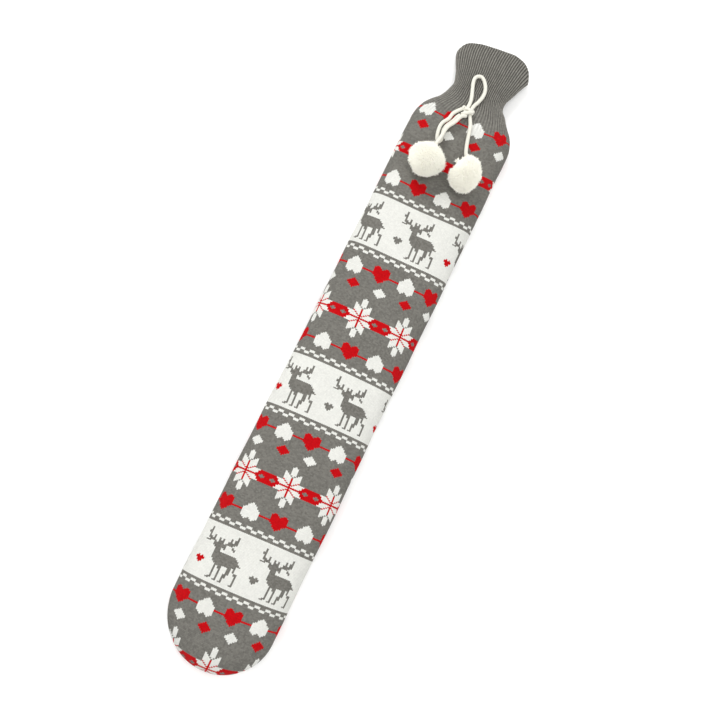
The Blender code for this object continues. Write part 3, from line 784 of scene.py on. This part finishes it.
def outwards(points, ratio):
    # the cloth's normal at each point of the grid
    down = np.gradient(points, axis=0)
    wrapped = np.concatenate([points[:, -1:], points, points[:, :1]], axis=1)
    along = (wrapped[:, 2:] - wrapped[:, :-2])
    normal = np.cross(along, down)
    axis = points * [0.0, 1.0, 0.0] + [0.0, 0.0, sleeve["heart"]]
    axis[..., 1] = np.maximum(axis[..., 1], sleeve["roundEnd"])
    away = points - axis
    normal *= np.sign((normal * away).sum(-1, keepdims=True))
    long = np.linalg.norm(normal, axis=-1, keepdims=True)
    edge = (ratio > sleeve["edgeFrom"])[..., None] | (long < 1e-6)
    flatAway = away * [1.0, 1.0, 0.2]
    normal = np.where(edge, flatAway, normal)
    return normal / np.linalg.norm(normal, axis=-1, keepdims=True)


def lumps(points):
    # a slow unevenness of stuffed cloth: two crossed waves, their lengths in millimetres
    x, y = points[..., 0], points[..., 1]
    wave = np.sin(x / 17.0 + 1.3 * np.sin(y / 41.0)) * np.sin(y / 23.0 + 0.9 * np.sin(x / 29.0))
    wave = wave + 0.6 * np.sin(x / 9.0 - y / 14.0 + 2.0) * np.sin(y / 37.0 + x / 51.0)
    return wave * stitchMesh["unevenness"]


def makeKnit():
    columns = stitchColumns()
    rows = np.arange(sleeve["rimRow"], sleeve["lastRow"] + 1)
    aside = np.abs(columns - np.round(columns))
    aside = np.where(np.abs(columns % 1.0 - 0.5) < 1e-6, 0.5, aside)
    column, row = np.meshgrid(columns, rows.astype(float))
    row = row + 0.25 - aside[None, :]
    row = np.clip(row, sleeve["rimRow"], None)
    points, ratio = outerTube.place(column, spread(row))
    normal = outwards(points, ratio)
    ribs = np.interp(points[..., 1], [s[0] for s in bodySections], [s[6] for s in bodySections])
    ridge = np.where(np.abs(aside - 0.25) < 0.01, 0.0, -sleeve["ridge"])[None, :]
    ridge = ridge * np.where(aside == 0.5, 1.0, 0.8)[None, :]
    wales = np.cos(math.pi * columns)[None, :] * ribs * sleeve["ribDepth"] / 2
    above = np.clip((points[..., 2] - stitchMesh["lumpsFrom"]) / stitchMesh["lumpsGrow"], 0, 1)
    height = ridge + wales + lumps(points) * above
    points = points + normal * height[..., None]
    points[..., 2] = np.maximum(points[..., 2], 0.05)
    count = len(columns)
    flat = points.reshape(-1, 3)
    i, j = np.meshgrid(np.arange(len(rows) - 1), np.arange(count), indexing="ij")
    after = (j + 1) % count
    corners = [i * count + j, (i + 1) * count + j, (i + 1) * count + after, i * count + after]
    quads = np.stack(corners, axis=-1)
    kept = (ratio.reshape(-1)[quads] < 1.0).any(-1)
    width = np.where(after > j, np.roll(columns, -1)[j], columns[0] + sleeve["stitches"])
    middle = np.round((columns[j] + width) / 2).astype(int)
    chart = makeChart()
    kinds = yarnOf(chart, middle, rows[i])
    cornerColumn = np.stack([columns[j], columns[j], width, width], axis=-1)
    lift = 0.25 - np.concatenate([aside, aside[:1]])
    near, far = rows[i] + lift[j], rows[i] + lift[j + 1]
    cornerRow = np.stack([near, near + 1, far + 1, far], axis=-1)
    shading = shadingNormals(flat, quads[kept])
    pieces = []
    limits = (sleeve["rimRow"], *stitchMesh["cuts"], sleeve["lastRow"])
    for name, first, last in zip(stitchMesh["names"], limits, limits[1:]):
        chosen = kept & (rows[i] >= first) & (rows[i] < last)
        stitches = np.stack([cornerColumn[chosen], cornerRow[chosen]], axis=-1)
        bake = np.stack([(cornerColumn[chosen] - columns[0]) / sleeve["stitches"],
                         (cornerRow[chosen] - first + 0.5) / (last - first + 1.0)], axis=-1)
        piece = makeMesh(name, flat, quads[chosen], [greyYarn, whiteYarn, redYarn], kinds[chosen], shading,
                         {"stitches": stitches, "OFBake": 0.01 + 0.98 * bake})
        pieces.append(piece)
        print(name, len(quads[chosen]) * 2, "triangles")
    return pieces, points, columns


def shadingNormals(points, quads):
    a, b, c, d = (points[quads[:, k]] for k in range(4))
    face = np.cross(c - a, d - b)
    total = np.zeros_like(points)
    for k in range(4):
        np.add.at(total, quads[:, k], face)
    long = np.linalg.norm(total, axis=1, keepdims=True)
    return np.where(long > 1e-12, total / np.maximum(long, 1e-12), [0.0, 0.0, 1.0])


knitPieces, knitPoints, knitColumns = makeKnit()


# Sleeve: its rim and inner side

inside = {
    "lip": 0.9,                # how far the rounded rim stands past the wall
    "rings": 5,                # over the rim
    "rowStep": 6,
    "columnStep": 0.5,
}


def makeInside():
    # the cloth's inner side, from the outer rim over its rounded edge and down to the round end
    columns = np.arange(knitColumns[0], knitColumns[0] + sleeve["stitches"], inside["columnStep"])
    count = len(columns)
    innerTube = Tube(sleeve["wall"])
    rim = float(sleeve["rimRow"])
    outerRim = np.stack([np.interp(columns, knitColumns, knitPoints[0, :, k]) for k in range(3)], axis=-1)
    innerRim, _ = innerTube.place(columns, np.full(count, rim))
    rings = []
    for step in range(inside["rings"] + 1):
        turn = math.pi * step / inside["rings"]
        share = 0.5 - 0.5 * math.cos(turn)
        ring = outerRim * (1 - share) + innerRim * share
        ring = ring + np.array([0.0, 1.0, 0.0]) * inside["lip"] * math.sin(turn)
        rings.append(ring)
    for row in range(int(rim) + 2, sleeve["lastRow"], inside["rowStep"]):
        ring, _ = innerTube.place(columns, np.full(count, float(row)))
        rings.append(ring)
    points = np.array(rings)
    points[..., 2] = np.maximum(points[..., 2], 0.1)
    i, j = np.meshgrid(np.arange(len(rings) - 1), np.arange(count), indexing="ij")
    after = (j + 1) % count
    corners = [i * count + j, i * count + after, (i + 1) * count + after, (i + 1) * count + j]
    quads = np.stack(corners, axis=-1).reshape(-1, 4)
    ringRow = np.concatenate([np.linspace(rim - 2, rim, inside["rings"] + 1),
                              np.arange(rim + 2, sleeve["lastRow"], inside["rowStep"])])
    width = columns[j] + inside["columnStep"]
    corners = np.stack([
        np.stack([columns[j], ringRow[i]], -1), np.stack([width, ringRow[i]], -1),
        np.stack([width, ringRow[i + 1]], -1), np.stack([columns[j], ringRow[i + 1]], -1)], axis=-2)
    corners = corners.reshape(-1, 4, 2)
    bake = np.stack([(corners[..., 0] - columns[0]) / sleeve["stitches"],
                     (corners[..., 1] - rim + 3) / (sleeve["lastRow"] - rim + 6)], axis=-1)
    return makeMesh("knit_inside", points.reshape(-1, 3), quads, [greyYarn], np.zeros(len(quads)), None,
                    {"stitches": corners, "OFBake": 0.01 + 0.98 * bake})


insidePiece = makeInside()
for piece in (*knitPieces, insidePiece):
    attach(piece, "root")
    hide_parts("sleeve")
print("sleeve knitted")


# Pompoms

pompomShape = {
    "strands": 5000,
    "sides": 4,
    "thick": 0.56,             # radius of a strand of yarn
    "from": 0.62,              # where a strand starts, as a share of the outer radius
    "reach": 0.97,             # of most strands, as a share of the outline
    "uneven": 0.025,
    "scatter": 0.06,           # how far a strand starts from its even place
    "lean": 0.2,
    "bend": 0.35,              # how much of the lean shows at the tip
    "core": 0.84,
    "stray": 0.22,             # share of the strands that a careless cut left longer
    "strayExtra": (0.02, 0.10),
    "strayThick": 0.65,
    "point": (0.15, 0.5),      # mm that a strand's point stands past its last ring
    "tuftWidth": 4.5,          # degrees to each side of a loose tuft
    "clear": 0.5,              # space between the strands' ends and the sleeve
}
# thickness of a strand at each of its rings
strandProfile = (0.8, 1.0, 1.05, 1.0, 0.62)
# outline from above: degrees from +X towards +Y, and the radius there
leftOutline = (
    (0, 22.4), (17, 21.2), (33, 20.0), (50, 19.0), (68, 18.7), (105, 18.7), (123, 17.8), (142, 18.8),
    (159, 19.4), (176, 19.5), (194, 17.8), (210, 17.8), (225, 17.5), (238, 17.6), (250, 19.2),
    (262, 19.2), (274, 19.2),
    (285, 19.1), (296, 19.7), (308, 19.2), (320, 19.5), (333, 20.6), (347, 21.6), (360, 22.4),
)
rightOutline = (
    (0, 16.8), (30, 17.7), (48, 18.6), (66, 20.9), (85, 20.9), (103, 21.3), (122, 17.8), (142, 14.5),
    (163, 13.5), (181, 13.9), (195, 17.7), (210, 18.6), (225, 19.4), (240, 19.6), (264, 20.5),
    (276, 21.0), (298, 20.6),
    (310, 19.8), (321, 18.3), (332, 17.8), (360, 16.8),
)
pompoms = (
    # name, centre, radii, outline, loose tufts (direction, length past the outline), seed
    ("pompom_left", (-21.7, 204.6, 54.4), (21.0, 18.8, 19.4), leftOutline, ((214, 2.2), (100, 0.6)), 11),
    ("pompom_right", (23.3, 208.7, 54.0), (17.3, 20.8, 19.0), rightOutline, ((148, 4.6), (5, 1.5)), 23),
)


def sleeveTop(x, y):
    row = [np.interp(y, outerTube.stations, c) for c in outerTube.columns]
    half = np.where(x < 0, row[0], row[1])
    share = np.clip(np.abs(x) / half, 0, 1)
    power, root = sleeve["crown"]
    return row[3] + (row[4] - row[3]) * (1 - share**power) ** (1 / root)


def makePompom(name, centre, radii, outline, tufts, seed):
    random = np.random.default_rng(seed)
    count = pompomShape["strands"]
    k = np.arange(count) + 0.5
    polar = np.arccos(1 - 2 * k / count)
    turn = math.pi * (1 + 5**0.5) * k
    way = np.stack([np.sin(polar) * np.cos(turn), np.sin(polar) * np.sin(turn), np.cos(polar)], axis=1)
    way += random.normal(0, pompomShape["scatter"], (count, 3))
    way /= np.linalg.norm(way, axis=1)[:, None]
    centre, radii = np.array(centre), np.array(radii)
    lean = random.normal(0, pompomShape["lean"], (count, 3))
    lean -= way * (lean * way).sum(1)[:, None]
    tip = pompomShape["reach"] - pompomShape["uneven"] * np.abs(random.normal(0, 1, count)).clip(0, 2.5)
    stray = random.random(count) < pompomShape["stray"]
    level = 1 - way[:, 2] ** 2
    tip = tip + stray * random.uniform(*pompomShape["strayExtra"], count) * level
    seen = np.degrees(np.arctan2(way[:, 1] * radii[1], way[:, 0] * radii[0])) % 360
    plain = 1 / np.hypot(np.cos(np.radians(seen)) / radii[0], np.sin(np.radians(seen)) / radii[1])
    tip = tip * (1 + (tableAt(outline, 1, seen) / plain - 1) * level)
    for direction, extra in tufts:
        near = np.abs((seen - direction + 180) % 360 - 180) < pompomShape["tuftWidth"]
        tip = tip + near * (np.abs(way[:, 2] - 0.1) < 0.12) * extra / plain
    rings = len(strandProfile)
    along = np.linspace(0, 1, rings)
    reach = pompomShape["from"] + (tip[:, None] - pompomShape["from"]) * along[None, :]
    bend = lean[:, None, :] * (along[None, :, None] ** 2) * pompomShape["bend"]
    lines = (way[:, None, :] * reach[..., None] + bend) * radii + centre
    ends = lines[:, -1]
    floor = sleeveTop(ends[:, 0], ends[:, 1]) + pompomShape["clear"]
    low = ends[:, 2] < floor
    start = lines[:, 0, 2]
    shrink = np.where(low, np.clip((start - floor) / np.maximum(start - ends[:, 2], 1e-6), 0.05, 1), 1.0)
    lines = lines[:, :1] + (lines - lines[:, :1]) * shrink[:, None, None]
    side = np.cross(way, random.normal(0, 1, (count, 3)))
    side /= np.linalg.norm(side, axis=1)[:, None]
    up = np.cross(way, side)
    sides = pompomShape["sides"]
    angle = 2 * math.pi * np.arange(sides) / sides
    thick = pompomShape["thick"] * np.array(strandProfile)
    size = thick[None, :, None] * random.uniform(0.85, 1.15, (count, 1, 1))
    size = size * np.where(stray, pompomShape["strayThick"], 1.0)[:, None, None]
    size = size * (1 + random.normal(0, 0.10, (count, rings, sides)))
    across, upwards = np.cos(angle)[None, :, None], np.sin(angle)[None, :, None]
    around = side[:, None, :] * across + up[:, None, :] * upwards
    points = lines[:, :, None, :] + around[:, None] * size[..., None]
    tips = lines[:, -1] + way * random.uniform(*pompomShape["point"], count)[:, None]
    perStrand = rings * sides + 1
    allPoints = np.concatenate([points.reshape(count, -1, 3), tips[:, None]], axis=1)
    faces = []
    for r in range(rings - 1):
        for s in range(sides):
            t = (s + 1) % sides
            a, b, c, d = r * sides + s, r * sides + t, (r + 1) * sides + t, (r + 1) * sides + s
            faces += [(a, b, c), (a, c, d)]
    last = (rings - 1) * sides
    faces += [(last + s, last + (s + 1) % sides, perStrand - 1) for s in range(sides)]
    faces = np.array(faces)
    quads = (np.arange(count)[:, None, None] * perStrand + faces[None]).reshape(-1, 3)
    corePoints, coreFaces = ballOf(centre, radii * pompomShape["core"], count * perStrand)
    points = np.vstack([allPoints.reshape(-1, 3), corePoints])
    triangles = np.vstack([quads, coreFaces])
    piece = makeMesh("yarn_" + name, points, triangles, [pompomYarn], np.zeros(len(triangles)))
    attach(piece, "root")
    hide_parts(name)
    print(name, len(triangles), "triangles")
    return piece


def ballOf(centre, radii, start, rings=24, around=48):
    points = [centre + radii * [0, 0, 1.0]]
    for r in range(1, rings):
        polar = math.pi * r / rings
        for a in range(around):
            turn = 2 * math.pi * a / around
            way = [math.sin(polar) * math.cos(turn), math.sin(polar) * math.sin(turn), math.cos(polar)]
            points.append(centre + radii * way)
    points.append(centre + radii * [0, 0, -1.0])
    faces = []
    for a in range(around):
        b = (a + 1) % around
        faces.append((0, 1 + a, 1 + b))
        for r in range(rings - 2):
            p, q = 1 + r * around, 1 + (r + 1) * around
            faces += [(p + a, q + a, q + b), (p + a, q + b, p + b)]
        last = 1 + (rings - 2) * around
        faces.append((last + a, len(points) - 1, last + b))
    return np.array(points), np.array(faces) + start


leftPompom, rightPompom = (makePompom(*row) for row in pompoms)


# Floor and light

studio = {
    "floor": "#FCFCFB",
    "side": 4000.0,            # mm, half the floor's side
    "low": -0.2,               # just under what the cover lies on
    "grainsPerMm": 0.4,
    "grainDepth": 0.2,         # mm
    "world": 0.82,
    "lamps": (
        # name, place in metres, size in metres, watts
        ("softbox", (-1.1, 1.2, 1.6), 1.1, 22.0),
        ("overhead", (0.3, -0.2, 2.2), 1.6, 22.0),
    ),
}


def makeStudio():
    # matt white paper
    paper, tree, shader = matShader("white_paper_sweep", studio["floor"], 0.0)
    grain = addNode(tree, "ShaderNodeTexNoise", {"Scale": studio["grainsPerMm"] / mm, "Detail": 2.0})
    bumpLook = {"Height": grain, "Strength": 0.05, "Distance": studio["grainDepth"] * mm}
    bump = addNode(tree, "ShaderNodeBump", bumpLook)
    tree.links.new(bump.outputs["Normal"], shader.inputs["Normal"])
    side, low = studio["side"], studio["low"]
    corners = [(-side, -side, low), (side, -side, low), (side, side, low), (-side, side, low)]
    floor = makeMesh("floor", np.array(corners), [(0, 1, 2, 3)], [paper], [0])
    world = bpy.data.worlds.new("studio")
    bpy.context.scene.world = world
    world.use_nodes = True
    sky = world.node_tree.nodes["Background"]
    sky.inputs["Color"].default_value = toLinear("#FFFFFF")
    sky.inputs["Strength"].default_value = studio["world"]
    for name, place, size, power in studio["lamps"]:
        lamp = bpy.data.lights.new(name, "AREA")
        lamp.shape = "DISK"
        lamp.size = size
        lamp.energy = power
        stand = bpy.data.objects.new(name, lamp)
        stand.location = place
        stand.rotation_euler = (-stand.location).to_track_quat("-Z", "Y").to_euler()
        bpy.context.scene.collection.objects.link(stand)


makeStudio()
print("studio lit")
